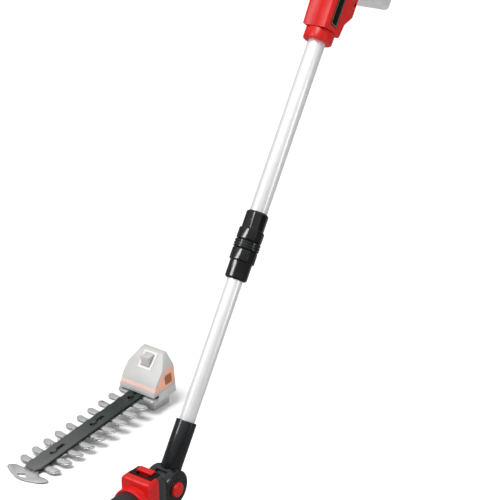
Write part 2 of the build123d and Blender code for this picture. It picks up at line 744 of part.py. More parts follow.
OUTLINE = [
    (21, SHELL_START),
    (24, 705),
    (26, 760),
    (24, 865),
    (20, 885),
    (20, 1000),
    (12, SHELL_END),
    (-74, SHELL_END),
    (-84, 1004),
    (-84, 884),
    (-78, 866),
    (-38, 862),
    (-38, 697),
    (-24, 680),
    (-21, SHELL_START),
]
HOLE = [(-14, 886), (-14, 990), (-22, 997), (-60, 997), (-66, 990), (-67, 888), (-60, 882), (-22, 882)]


def outer_faces(sign):
    """The flat outer face of the handle half being built."""
    found = faces().sort_by(Axis.X)
    return found[-1] if sign > 0 else found[0]


def handle_half(sign):
    """Adds one hollow half of the handle with its screw bosses."""
    with BuildSketch(side(0)) as outline:
        Polygon(*OUTLINE, align=None)
        Polygon(*HOLE, align=None, mode=Mode.SUBTRACT)
    extrude(outline.sketch, amount=-sign * SHELL_HALF)
    fillet(outer_faces(sign).edges(), 5.0)
    with BuildSketch(side(0)) as hollow:
        Polygon(*OUTLINE, align=None)
        offset(amount=-WALL, mode=Mode.REPLACE)
        with BuildSketch(side(0), mode=Mode.PRIVATE) as grown:
            Polygon(*HOLE, align=None)
            offset(amount=WALL, mode=Mode.REPLACE)
        add(grown.sketch, mode=Mode.SUBTRACT)
    extrude(hollow.sketch, amount=-sign * (SHELL_HALF - WALL), mode=Mode.SUBTRACT)


HANDLE_SCREWS = [(18, 745), (-31, 715), (-27, 852), (12, 872), (5, 1007), (-75, 1002), (-75, 874)]


def screw_places(x, radius):
    """Returns a sketch of one circle at each handle screw."""
    with BuildSketch(side(x)) as circles:
        with Locations(*HANDLE_SCREWS):
            Circle(radius)
    return circles.sketch


with BuildPart() as handle_shell_right:
    handle_half(1)
    extrude(screw_places(0, 3.6), amount=-(SHELL_HALF - 1))
    extrude(screw_places(-1, 1.7), amount=-40, mode=Mode.SUBTRACT)
    extrude(screw_places(10, 3.1), amount=-40, mode=Mode.SUBTRACT)
    disc(along(SHELL_START - 2), UPPER_R + SLIDE_GAP, 12, Mode.SUBTRACT)
    block(side(SHELL_HALF - 0.9), -3, 15.5, 667.5, 762, -5, mode=Mode.SUBTRACT)
    block(side(0), -20, -8, 898, 950, 8.4, both=True, mode=Mode.SUBTRACT)
    block(side(0), 10, 40, 792, 812, 6.4, both=True, mode=Mode.SUBTRACT)
    block(side(0), 18, 40, 831, 863, 2.2, both=True, mode=Mode.SUBTRACT)

with BuildPart() as handle_shell_left:
    handle_half(-1)
    extrude(screw_places(0, 3.6), amount=SHELL_HALF - 1)
    extrude(screw_places(1, 1.4), amount=13, mode=Mode.SUBTRACT)
    disc(along(SHELL_START - 2), UPPER_R + SLIDE_GAP, 12, Mode.SUBTRACT)
    block(side(-SHELL_HALF + 0.9), -3, 15.5, 667.5, 762, 5, mode=Mode.SUBTRACT)
    block(side(0), -20, -8, 898, 950, 8.4, both=True, mode=Mode.SUBTRACT)
    block(side(0), 10, 40, 792, 812, 6.4, both=True, mode=Mode.SUBTRACT)
    block(side(0), 18, 40, 831, 863, 2.2, both=True, mode=Mode.SUBTRACT)

with BuildPart() as handle_screws:
    extrude(screw_places(10.2, 2.8), amount=-2.6)
    extrude(screw_places(-11, 1.35), amount=-21.2)

with BuildPart() as label_panels:
    block(side(SHELL_HALF - 0.8), -2.8, 15.3, 667.7, 761.8, -1.0)
    block(side(-SHELL_HALF + 0.8), -2.8, 15.3, 667.7, 761.8, 1.0)

with BuildPart() as grip_cover:
    block(side(0), -9, 21.6, 892, 984, SHELL_HALF + 1.6, both=True)
    fillet(grip_cover.edges().filter_by(Axis((0, 0, 0), (0, CS, SN))).group_by(
        Axis((0, 0, 0), (0, -SN, CS)))[-1], 5.0)
    slab(side(0), [(20, 880), (20, 1000), (-30, 1000), (-30, 880)], SHELL_HALF, both=True,
         mode=Mode.SUBTRACT)

with BuildPart() as trigger:
    slab(side(0), [(-10, 900), (-24, 905), (-22, 925), (-27, 944), (-10, 948)], 7.8, both=True)
    fillet(trigger.edges().filter_by(Axis.X), 1.5)
    block(side(0), -10.9, -7.0, 899, 949, 12, both=True)

with BuildPart() as trigger_spring:
    coil(Plane(origin=top_at(-6.5).origin + top_at(0).y_dir * 924, z_dir=top_at(0).z_dir), 3.0, 0.4,
         6.0, 4)

with BuildPart() as switch_module:
    block(side(0), 0.2, 14, 902, 946, 9, both=True)

with BuildPart() as lock_off_button:
    slab(side(0), [(20, 793), (31, 795), (31, 809), (20, 811)], 5.9, both=True)
    fillet(lock_off_button.edges().filter_by(Axis.X), 1.0)
    block(side(0), 17.6, 21.6, 790, 814, 9, both=True)

with BuildPart() as lock_spring:
    coil(Plane(origin=top_at(11.6).origin + top_at(0).y_dir * 802, z_dir=top_at(0).z_dir), 3.0, 0.4,
         5.4, 4)

with BuildPart() as control_board:
    block(side(0), -20, -18.4, 745, 845, 14, both=True)
    for place in (760, 790, 822):
        block(side(0), -18.4, -10, place, place + 14, 8, both=True)
    for place in (750, 838):
        block(side(0), -35.4, -20, place, place + 5, 4, both=True)

with BuildPart() as lock_bridge:
    block(side(0), 8.8, 11.2, 786, 818, SHELL_HALF - WALL - 0.2, both=True)

with BuildPart() as battery_rail:
    block(side(0), -41, -38.1, 738, 852, 22, both=True)
    block(side(0), -45, -41, 746, 852, 13, both=True)
    block(side(0), -49, -45, 746, 852, 19, both=True)

BATTERY_END = BATTERY_START + BATTERY_LENGTH
with BuildPart() as battery_lid:
    block(side(0), -54, -41.4, BATTERY_START, BATTERY_END, BATTERY_HALF, both=True)
    fillet(battery_lid.edges().filter_by(Axis((0, 0, 0), (0, -SN, CS))), 6.0)
    block(side(0), -45.3, -40, 744, BATTERY_END + 4, 13.4, both=True, mode=Mode.SUBTRACT)
    block(side(0), -53.3, -45.7, BATTERY_START - 4, BATTERY_START + 5.5, 12.3, both=True,
          mode=Mode.SUBTRACT)
    block(side(0), -49.4, -44.7, 744, BATTERY_END + 4, 19.4, both=True, mode=Mode.SUBTRACT)

with BuildPart() as battery_case:
    block(side(0), -96.5, -54.2, BATTERY_START, BATTERY_END, BATTERY_HALF, both=True)
    fillet(battery_case.edges().filter_by(Axis((0, 0, 0), (0, -SN, CS))), 6.0)
    fillet(battery_case.faces().sort_by(Axis((0, 0, 0), (0, -SN, CS)))[0].edges(), 3.0)
    block(side(0), -94, -54, BATTERY_START + 2.6, BATTERY_END - 2.6, BATTERY_HALF - 2.8, both=True,
          mode=Mode.SUBTRACT)

with BuildPart() as battery_cells:
    for column in range(6):
        for level in (-64.0, -83.5):
            with BuildSketch(side(-CELL_LENGTH / 2)):
                with Locations((level, BATTERY_START + 12.2 + 19.1 * column)):
                    Circle(CELL_R)
            extrude(amount=-CELL_LENGTH)

with BuildPart() as battery_release:
    block(side(0), -53, -46.0, BATTERY_START - 3.5, BATTERY_START + 3.0, 12, both=True)
    fillet(battery_release.faces().sort_by(Axis((0, 0, 0), (0, CS, SN)))[0].edges(), 1.2)

with BuildPart() as strap_eye:
    slab(side(0), [(22, 832), (38, 836), (43, 842), (43, 852), (38, 858), (22, 862)], 2.0, both=True)
    with BuildSketch(side(0)):
        with Locations((34, 847)):
            Circle(5.0)
    extrude(amount=10, both=True, mode=Mode.SUBTRACT)

NODES = {
    "upper_tube": upper_tube,
    "lower_tube": lower_tube,
    "tube_bush": tube_bush,
    "arm_sleeve": arm_sleeve,
    "collar_nut": collar_nut,
    "collar_ring": collar_ring,
    "collar_body": collar_body,
    "clamp_sleeve": clamp_sleeve,
    "knuckle": knuckle,
    "pivot_pin": pivot_pin,
    "pivot_cap": pivot_cap,
    "pivot_button": pivot_button,
    "button_spring": button_spring,
    "adapter_tongue": adapter_tongue,
    "adapter_body": adapter_body,
    "top_plate": top_plate,
    "release_slider": release_slider,
    "latch_bolt": latch_bolt,
    "latch_spring": latch_spring,
    "grip_tube": grip_tube,
    "motor_shell_right": motor_shell_right,
    "motor_shell_left": motor_shell_left,
    "motor_screws": motor_screws,
    "gear_carrier": gear_carrier,
    "motor": motor,
    "motor_pinion": motor_pinion,
    "output_gear": output_gear,
    "shaft_bearings": shaft_bearings,
    "dock_ring": dock_ring,
    "lower_blade": lower_blade,
    "upper_blade": upper_blade,
    "guide_bar": guide_bar,
    "blade_bolts": blade_bolts,
    "head_cover": head_cover,
    "head_base": head_base,
    "head_dock": head_dock,
    "head_latch": head_latch,
    "side_panels": side_panels,
    "side_emblems": side_emblems,
    "crank_gear": crank_gear,
    "drive_shaft": drive_shaft,
    "neck_ring": neck_ring,
    "handle_shell_right": handle_shell_right,
    "handle_shell_left": handle_shell_left,
    "handle_screws": handle_screws,
    "label_panels": label_panels,
    "grip_cover": grip_cover,
    "trigger": trigger,
    "trigger_spring": trigger_spring,
    "switch_module": switch_module,
    "lock_off_button": lock_off_button,
    "lock_spring": lock_spring,
    "lock_bridge": lock_bridge,
    "control_board": control_board,
    "battery_rail": battery_rail,
    "battery_lid": battery_lid,
    "battery_case": battery_case,
    "battery_cells": battery_cells,
    "battery_release": battery_release,
    "strap_eye": strap_eye,
}
for node_name, builder in NODES.items():
    builder.part.label = node_name
    export_step(builder.part, f"parts/{node_name}.step")
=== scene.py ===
"""Looks of the telescopic hedge trimmer: finishes, detailed pieces, studio and camera."""

from __future__ import annotations

import json
import logging
import math
from dataclasses import dataclass, field
from enum import Enum
from typing import Any, Callable, Iterable, Sequence

import bmesh
import bpy
from mathutils import Matrix, Vector

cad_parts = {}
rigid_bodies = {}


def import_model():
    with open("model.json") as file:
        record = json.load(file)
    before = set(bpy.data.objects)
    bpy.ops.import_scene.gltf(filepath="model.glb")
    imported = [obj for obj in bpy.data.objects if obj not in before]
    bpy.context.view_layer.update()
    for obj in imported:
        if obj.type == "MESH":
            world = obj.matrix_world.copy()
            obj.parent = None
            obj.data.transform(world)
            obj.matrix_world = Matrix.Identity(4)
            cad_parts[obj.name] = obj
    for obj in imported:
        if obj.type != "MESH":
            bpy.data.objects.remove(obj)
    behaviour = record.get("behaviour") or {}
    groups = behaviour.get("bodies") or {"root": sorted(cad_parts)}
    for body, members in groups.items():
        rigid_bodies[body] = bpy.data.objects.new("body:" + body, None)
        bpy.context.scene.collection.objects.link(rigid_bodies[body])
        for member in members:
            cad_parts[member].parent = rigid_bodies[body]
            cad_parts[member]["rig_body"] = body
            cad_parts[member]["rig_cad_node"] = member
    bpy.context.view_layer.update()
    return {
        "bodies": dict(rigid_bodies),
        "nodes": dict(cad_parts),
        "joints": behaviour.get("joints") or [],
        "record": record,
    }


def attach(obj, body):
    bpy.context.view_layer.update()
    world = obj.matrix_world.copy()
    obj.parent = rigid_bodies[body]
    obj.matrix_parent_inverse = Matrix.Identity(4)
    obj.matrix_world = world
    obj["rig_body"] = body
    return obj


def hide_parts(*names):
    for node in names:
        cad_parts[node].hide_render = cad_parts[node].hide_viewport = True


LOG = logging.getLogger("trimmer")

Colour = tuple[float, float, float]
Point = tuple[float, float, float]
Test = Callable[[Vector, Vector], bool]

MM = 0.001
MERGE = 0.000001
FLAT_ANGLE = math.radians(0.5)
SMOOTH_ANGLE = math.radians(35.0)
FINE_ANGLE = math.radians(30.0)
WALL_LEAN = 0.4
TOP_LEAN = 0.9
WHITE = (1.0, 1.0, 1.0)
SIDES = 72
BORE_SIDES = 64
X_AXIS = Vector((1.0, 0.0, 0.0))
Y_AXIS = Vector((0.0, 1.0, 0.0))
Z_AXIS = Vector((0.0, 0.0, 1.0))
TOOL = Vector((0.1432, -0.1608, 0.1))
LEAN = math.radians(55.8)
UP_POLE = Vector((0.0, math.cos(LEAN), math.sin(LEAN)))
POLE_TOP = Vector((0.0, -math.sin(LEAN), math.cos(LEAN)))
HEAD_YAW = math.radians(-2.44)
HEAD_TILT = math.radians(6.0)
HEAD_RIGHT = Vector((math.cos(HEAD_YAW), math.sin(HEAD_YAW), 0.0))
HEAD_BACK = Vector(
    (
        -math.sin(HEAD_YAW) * math.cos(HEAD_TILT),
        math.cos(HEAD_YAW) * math.cos(HEAD_TILT),
        math.sin(HEAD_TILT),
    )
)
HEAD_UP = HEAD_RIGHT.cross(HEAD_BACK)
HEAD_ORIGIN = TOOL + Vector((-0.2858, 0.0299, -0.0965))


@dataclass(frozen=True)
class Seat:
    """A right-handed set of local axes that pieces are modelled in."""

    origin: Vector
    x: Vector
    y: Vector
    z: Vector

    def matrix(self) -> Matrix:
        """The transform from local to frame coordinates."""
        made = Matrix((self.x, self.y, self.z)).transposed().to_4x4()
        made.translation = self.origin
        return made


POLE_SEAT = Seat(TOOL, POLE_TOP, X_AXIS, UP_POLE)
TOOL_SEAT = Seat(TOOL, X_AXIS, Z_AXIS, -Y_AXIS)
PIN_SEAT = Seat(TOOL, Y_AXIS, Z_AXIS, X_AXIS)
HEAD_SEAT = Seat(HEAD_ORIGIN, HEAD_RIGHT, HEAD_BACK, HEAD_UP)


class Body(Enum):
    """The bodies that carry the two halves of the twist collar."""

    HANDLE = "handle"
    COLLAR = "collar"


class Part(Enum):
    """The parts of a mesh that can be selected."""

    FACE = "FACE"
    EDGE = "EDGE"
    VERT = "VERT"


class Value:
    """A shader socket that adds Math nodes when it is used in arithmetic."""

    def __init__(self, net: "Net", socket: Any) -> None:
        """Wraps one output socket of a net."""
        self.net = net
        self.socket = socket

    def _math(self, operation: str, first: Any, second: Any) -> "Value":
        """Adds one Math node and returns its result."""
        made = self.net.node("ShaderNodeMath", {"operation": operation}, {0: first, 1: second})
        return Value(self.net, made.outputs[0])

    def __add__(self, other: Any) -> "Value":
        """Sum."""
        return self._math("ADD", self, other)

    __radd__ = __add__

    def __mul__(self, other: Any) -> "Value":
        """Product."""
        return self._math("MULTIPLY", self, other)

    __rmul__ = __mul__

    def __sub__(self, other: Any) -> "Value":
        """Difference."""
        return self._math("SUBTRACT", self, other)

    def __rsub__(self, other: Any) -> "Value":
        """Difference, the other way round."""
        return self._math("SUBTRACT", other, self)

    def size(self) -> "Value":
        """Absolute value."""
        return self._math("ABSOLUTE", self, 0.0)

    def larger(self, other: "Value") -> "Value":
        """The larger of two values."""
        return self._math("MAXIMUM", self, other)

    def between(self, low: float, high: float) -> "Value":
        """Rises from zero at low to one at high, held at both ends."""
        made = self.net.node(
            "ShaderNodeMapRange", {"clamp": True}, {0: self, 1: low, 2: high, 3: 0.0, 4: 1.0}
        )
        return Value(self.net, made.outputs[0])


class Net:
    """The node tree of one material."""

    def __init__(self, name: str) -> None:
        """Starts an empty tree under a new material.

        Args:
            name: The material's name.
        """
        self.material = bpy.data.materials.new(name)
        self.material.use_nodes = True
        self.tree = self.material.node_tree
        self.tree.nodes.clear()

    def node(self, kind: str, settings: dict[str, Any], inputs: dict[Any, Any]) -> Any:
        """Adds a node, sets it up and fills its sockets.

        Args:
            kind: Blender's node type.
            settings: Properties set before the sockets are filled.
            inputs: Values, colours or Value links by socket name or number.

        Returns:
            The new node.
        """
        made = self.tree.nodes.new(kind)
        for key, value in settings.items():
            setattr(made, key, value)
        for key, value in inputs.items():
            if isinstance(value, Value):
                self.tree.links.new(value.socket, made.inputs[key])
            else:
                made.inputs[key].default_value = value
        return made

    def place(self) -> Value:
        """Object coordinates of the surface."""
        made = self.node("ShaderNodeTexCoord", {}, {})
        return Value(self, made.outputs["Object"])

    def noise(self, scale: float, detail: float = 4.0, where: Value | None = None) -> Value:
        """Fractal noise over the piece.

        Args:
            scale: Noise scale per metre.
            detail: Number of octaves.
            where: Coordinates to read instead of the piece's own.

        Returns:
            The noise factor.
        """
        inputs = {"Vector": where or self.place(), "Scale": scale, "Detail": detail}
        made = self.node("ShaderNodeTexNoise", {}, inputs)
        return Value(self, made.outputs[0])

    def reach(self, origin: Vector, direction: Vector) -> Value:
        """Distance of the surface from a point along a direction, in metres."""
        offset = self.node(
            "ShaderNodeVectorMath", {"operation": "SUBTRACT"}, {0: self.place(), 1: tuple(origin)}
        )
        made = self.node(
            "ShaderNodeVectorMath",
            {"operation": "DOT_PRODUCT"},
            {0: Value(self, offset.outputs[0]), 1: tuple(direction)},
        )
        return Value(self, made.outputs["Value"])

    def lines(self, seat: Seat, scale: float, stretch: Point, detail: float = 3.0) -> Value:
        """Noise drawn out along the axes of a seat.

        Args:
            seat: The local axes.
            scale: Noise scale per metre.
            stretch: Share of the scale along each local axis.
            detail: Number of octaves.

        Returns:
            The noise factor.
        """
        parts = [self.reach(seat.origin, axis) for axis in (seat.x, seat.y, seat.z)]
        joined = self.node(
            "ShaderNodeCombineXYZ",
            {},
            {index: part * share for index, (part, share) in enumerate(zip(parts, stretch))},
        )
        return self.noise(scale, detail, Value(self, joined.outputs[0]))

    def blend(self, factor: Any, first: Any, second: Any) -> Value:
        """Mixes two colours by a factor."""
        made = self.node(
            "ShaderNodeMix", {"data_type": "RGBA"}, {0: factor, 6: first, 7: second}
        )
        return Value(self, made.outputs[2])

    def bump(self, height: Value, depth: float) -> Value:
        """Turns a height into a normal; depth is in metres."""
        made = self.node(
            "ShaderNodeBump", {}, {"Strength": 1.0, "Distance": depth, "Height": height}
        )
        return Value(self, made.outputs[0])

    def finish(self, inputs: dict[Any, Any]) -> Any:
        """Closes the tree with a Principled shader.

        Args:
            inputs: The shader's sockets.

        Returns:
            The finished material.
        """
        shader = self.node("ShaderNodeBsdfPrincipled", {}, inputs)
        out = self.node("ShaderNodeOutputMaterial", {}, {})
        self.tree.links.new(shader.outputs[0], out.inputs[0])
        return self.material


def rgba(colour: Colour) -> tuple[float, float, float, float]:
    """A colour with full alpha."""
    return (*colour, 1.0)


@dataclass(frozen=True)
class Moulding:
    """Injection-moulded plastic or rubber: spark texture, faint mottling, handling marks."""

    name: str
    colour: Colour
    shade: Colour
    roughness: float = 0.4
    grain: float = 2600.0
    depth: float = 0.00006
    coat: float = 0.0
    specular: float = 0.5

    def material(self) -> Any:
        """Builds the material."""
        net = Net(self.name)
        grain = net.noise(self.grain, 3.0)
        cloud = net.noise(55.0, 5.0)
        rubbed = net.noise(160.0, 6.0).between(0.52, 0.7)
        tint = net.blend(cloud, rgba(self.shade), rgba(self.colour))
        return net.finish(
            {
                "Base Color": tint,
                "Roughness": grain * 0.1 + rubbed * 0.1 + (self.roughness - 0.08),
                "Coat Weight": self.coat,
                "Coat Roughness": 0.06,
                "Specular IOR Level": self.specular,
                "Normal": net.bump(grain + cloud * 0.3, self.depth),
            }
        )


@dataclass(frozen=True)
class Metal:
    """Drawn, ground or coated metal with fine lines along one axis of a seat."""

    name: str
    colour: Colour
    shade: Colour
    roughness: float
    seat: Seat
    stretch: Point
    lines: float = 1400.0
    metallic: float = 1.0
    depth: float = 0.00001

    def material(self) -> Any:
        """Builds the material."""
        net = Net(self.name)
        line = net.lines(self.seat, self.lines, self.stretch)
        cloud = net.noise(40.0, 4.0)
        tint = net.blend(cloud * 0.5 + line * 0.5, rgba(self.shade), rgba(self.colour))
        return net.finish(
            {
                "Base Color": tint,
                "Metallic": self.metallic,
                "Roughness": line * 0.14 + cloud * 0.06 + (self.roughness - 0.1),
                "Normal": net.bump(line, self.depth),
            }
        )


@dataclass(frozen=True)
class GroundSteel:
    """Blade steel: dark coating over the spine that gives way to bright ground teeth."""

    name: str = "ground_teeth"
    bright: Colour = (0.74, 0.75, 0.74)
    worn: Colour = (0.52, 0.53, 0.52)
    coating: Colour = (0.035, 0.045, 0.042)
    coat_edge: float = 0.0185
    coat_fade: float = 0.0025
    slot_edge: float = 0.0042

    def material(self) -> Any:
        """Builds the material."""
        net = Net(self.name)
        ragged = net.noise(420.0, 3.0) * 0.004
        out = net.reach(HEAD_SEAT.origin, HEAD_SEAT.x).size() + ragged
        teeth = out.between(self.coat_edge, self.coat_edge + self.coat_fade)
        bare = teeth + (1.0 - out.between(self.slot_edge, self.slot_edge + 0.0008))
        forward = net.reach(HEAD_SEAT.origin, HEAD_SEAT.y) * -1.0
        tip = forward.between(-0.012, -0.004)
        shown = (bare + tip).between(0.0, 1.0)
        scratch = net.lines(HEAD_SEAT, 1500.0, (0.12, 1.0, 1.0))
        cloud = net.noise(70.0, 5.0)
        steel = net.blend(scratch * 0.6 + cloud * 0.4, rgba(self.worn), rgba(self.bright))
        return net.finish(
            {
                "Base Color": net.blend(shown, rgba(self.coating), steel),
                "Metallic": shown * 0.85,
                "Roughness": scratch * 0.14 + cloud * 0.08 + 0.22 - shown * 0.02,
                "Normal": net.bump(scratch, 0.00002),
            }
        )


@dataclass(frozen=True)
class CoatedBar:
    """Guide bar: dark coating with fine rub marks, greyed towards the tip by a painted
    reflection.
    """

    name: str = "coated_bar"
    base: Colour = (0.016, 0.026, 0.022)
    # painted reflection: the grey the bar is shaded to at its tip end
    painted_reflection_grey: Colour = (0.12, 0.125, 0.12)

    def material(self) -> Any:
        """Builds the material."""
        net = Net(self.name)
        back = net.reach(HEAD_SEAT.origin, HEAD_SEAT.y)
        # Painted reflection: the dark coating is blended to grey towards the tip end of the bar.
        fade = back.between(0.01, 0.2)
        rub = net.lines(HEAD_SEAT, 900.0, (1.0, 0.1, 1.0))
        spots = net.noise(600.0, 4.0).between(0.62, 0.75)
        tint = net.blend(fade, rgba(self.painted_reflection_grey), rgba(self.base))
        return net.finish(
            {
                "Base Color": net.blend(spots * 0.35, tint, (0.2, 0.21, 0.2, 1.0)),
                "Metallic": 0.35,
                "Roughness": rub * 0.16 + 0.34,
                "Normal": net.bump(rub, 0.00003),
            }
        )


@dataclass(frozen=True)
class BlankLabel:
    """Black label with a thin pale border and no lettering."""

    name: str = "blank_label"
    ink: Colour = (0.003, 0.003, 0.003)
    line: Colour = (0.42, 0.34, 0.25)
    along: tuple[float, float] = (0.7147, 0.0470)
    across: tuple[float, float] = (0.0062, 0.0090)
    inset: float = 0.0018
    weight: float = 0.0005

    def material(self) -> Any:
        """Builds the material."""
        net = Net(self.name)
        middle, half = self.along
        length = (net.reach(TOOL, UP_POLE) - middle).size() - half
        middle, half = self.across
        height = (net.reach(TOOL, POLE_TOP) - middle).size() - half
        edge = length.larger(height)
        near = edge.between(-self.inset - self.weight, -self.inset)
        border = near * (1.0 - edge.between(-self.inset, self.weight - self.inset))
        grain = net.noise(1500.0, 3.0)
        scuff = net.noise(220.0, 6.0).between(0.6, 0.8)
        return net.finish(
            {
                "Base Color": net.blend(border, rgba(self.ink), rgba(self.line)),
                "Roughness": grain * 0.1 + scuff * 0.15 + 0.3,
                "Specular IOR Level": 0.15,
                "Normal": net.bump(grain + border * 4.0, 0.000008),
            }
        )


@dataclass(frozen=True)
class HousingShell:
    """Pale housing with a warmer band along its lower edge."""

    name: str = "pale_housing"
    colour: Colour = (0.5, 0.5, 0.49)
    shade: Colour = (0.4, 0.4, 0.4)
    warm: Colour = (0.72, 0.47, 0.41)
    band: tuple[float, float] = (0.0125, 0.0175)

    def material(self) -> Any:
        """Builds the material."""
        net = Net(self.name)
        height = net.reach(HEAD_SEAT.origin, HEAD_SEAT.z)
        low, high = self.band
        banded = height.between(low, low + 0.0004) * (1.0 - height.between(high, high + 0.0004))
        grain = net.noise(1900.0, 3.0)
        cloud = net.noise(50.0, 5.0)
        tint = net.blend(cloud, rgba(self.shade), rgba(self.colour))
        return net.finish(
            {
                "Base Color": net.blend(banded, tint, rgba(self.warm)),
                "Roughness": grain * 0.12 + cloud * 0.08 + 0.32,
                "Normal": net.bump(grain + banded * 3.0, 0.00005),
            }
        )


FINISHES: dict[str, Any] = {
    "tube": Metal("drawn_tube", (0.86, 0.86, 0.87), (0.78, 0.78, 0.79), 0.3, POLE_SEAT,
                  (1.0, 1.0, 0.03), 1500.0, 0.45),
    "collar": Moulding("collar_gloss", (0.004, 0.005, 0.005), (0.003, 0.003, 0.003), 0.13, 1200.0,
                       0.000006, 0.2, 0.4),
    "collar_grip": Moulding("collar_ribs", (0.008, 0.009, 0.009), (0.005, 0.006, 0.006), 0.3,
                            1800.0, 0.00002, 0.2, 0.4),
    "sleeve": Moulding("arm_texture", (0.006, 0.008, 0.009), (0.003, 0.004, 0.005), 0.24, 1300.0,
                       0.00006, 0.3, 0.45),
    "black": Moulding("black_moulding", (0.008, 0.009, 0.01), (0.005, 0.006, 0.006), 0.26, 2200.0,
                      0.00003, 0.25, 0.4),
    "dark_grey": Moulding("grey_flange", (0.032, 0.036, 0.037), (0.02, 0.023, 0.024), 0.36,
                          2200.0, 0.00005, 0.1, 0.35),
    "red": Moulding("signal_red", (0.6, 0.008, 0.006), (0.42, 0.004, 0.004), 0.34, 2400.0,
                    0.000015, 0.0, 0.3),
    "label": BlankLabel(),
    "charcoal": Moulding("charcoal_grip", (0.02, 0.025, 0.025), (0.013, 0.017, 0.017), 0.46,
                         1500.0, 0.00012, 0.0, 0.3),
    "soft_grip": Moulding("soft_rubber", (0.012, 0.013, 0.013), (0.007, 0.008, 0.008), 0.58,
                          1200.0, 0.0002, 0.0, 0.3),
    "steel": Metal("plain_steel", (0.62, 0.62, 0.63), (0.45, 0.45, 0.46), 0.34, TOOL_SEAT,
                   (1.0, 1.0, 0.15)),
    "ground_steel": GroundSteel(),
    "dark_steel": CoatedBar(),
    "spring": Metal("spring_wire", (0.5, 0.5, 0.5), (0.38, 0.38, 0.38), 0.35, PIN_SEAT,
                    (1.0, 1.0, 1.0)),
    "brass": Metal("sintered_bronze", (0.62, 0.42, 0.2), (0.45, 0.29, 0.13), 0.42, TOOL_SEAT,
                   (1.0, 1.0, 1.0), 2600.0),
    "board": Moulding("circuit_board", (0.01, 0.13, 0.05), (0.006, 0.08, 0.03), 0.42),
    "pale_grey": Moulding("pale_casing", (0.52, 0.52, 0.51), (0.42, 0.42, 0.42), 0.42, 1900.0,
                          0.00005),
    "head_shell": HousingShell(),
    "pale_frame": Moulding("pale_frame", (0.78, 0.68, 0.65), (0.7, 0.6, 0.57), 0.4, 1900.0,
                           0.00004),
    "salmon": Moulding("salmon_panel", (0.82, 0.42, 0.29), (0.72, 0.34, 0.23), 0.38, 1900.0,
                       0.00004),
    "emblem": Moulding("plain_inlay", (0.36, 0.14, 0.05), (0.26, 0.09, 0.03), 0.36, 1900.0,
                       0.00003),
    "cell": Moulding("cell_wrap", (0.03, 0.12, 0.36), (0.02, 0.08, 0.25), 0.3),
}


class Workshop:
    """Holds the frame and the finishes, and issues finished pieces to their bodies."""

    def __init__(self, frame: dict[str, Any]) -> None:
        """Builds every finish once.
        """
        self.frame = frame
        self.slots = [entry["slot"] for entry in frame["record"]["materials"]]
        self.made = {slot: finish.material() for slot, finish in FINISHES.items()}

    def dress_nodes(self) -> None:
        """Gives every carried-over node the finish of its slot."""
        for part in self.frame["record"]["subparts"]:
            node = self.frame["nodes"][part["node"]]
            node.data.materials.clear()
            node.data.materials.append(self.made[part["material_slot"]])
        LOG.info("dressed %d nodes", len(self.frame["nodes"]))

    def issue(self, piece: Any, body: str, finish: str, replaced: Sequence[str]) -> None:
        """Dresses one finished piece and puts it on its body.

        Args:
            piece: The finished mesh object.
            body: The body that carries it.
            finish: The finish's name.
            replaced: Nodes that the piece stands for.
        """
        piece.data.materials.clear()
        piece.data.materials.append(self.made[finish])
        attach(piece, body)
        if replaced:
            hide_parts(*replaced)
        LOG.info("%s: %d faces", piece.name, len(piece.data.polygons))

    def body_of(self, node: str) -> str:
        """The body that a node belongs to."""
        return self.frame["nodes"][node]["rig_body"]

    def slot_of(self, node: str) -> str:
        """The material slot of a node."""
        parts = self.frame["record"]["subparts"]
        return next(part["material_slot"] for part in parts if part["node"] == node)


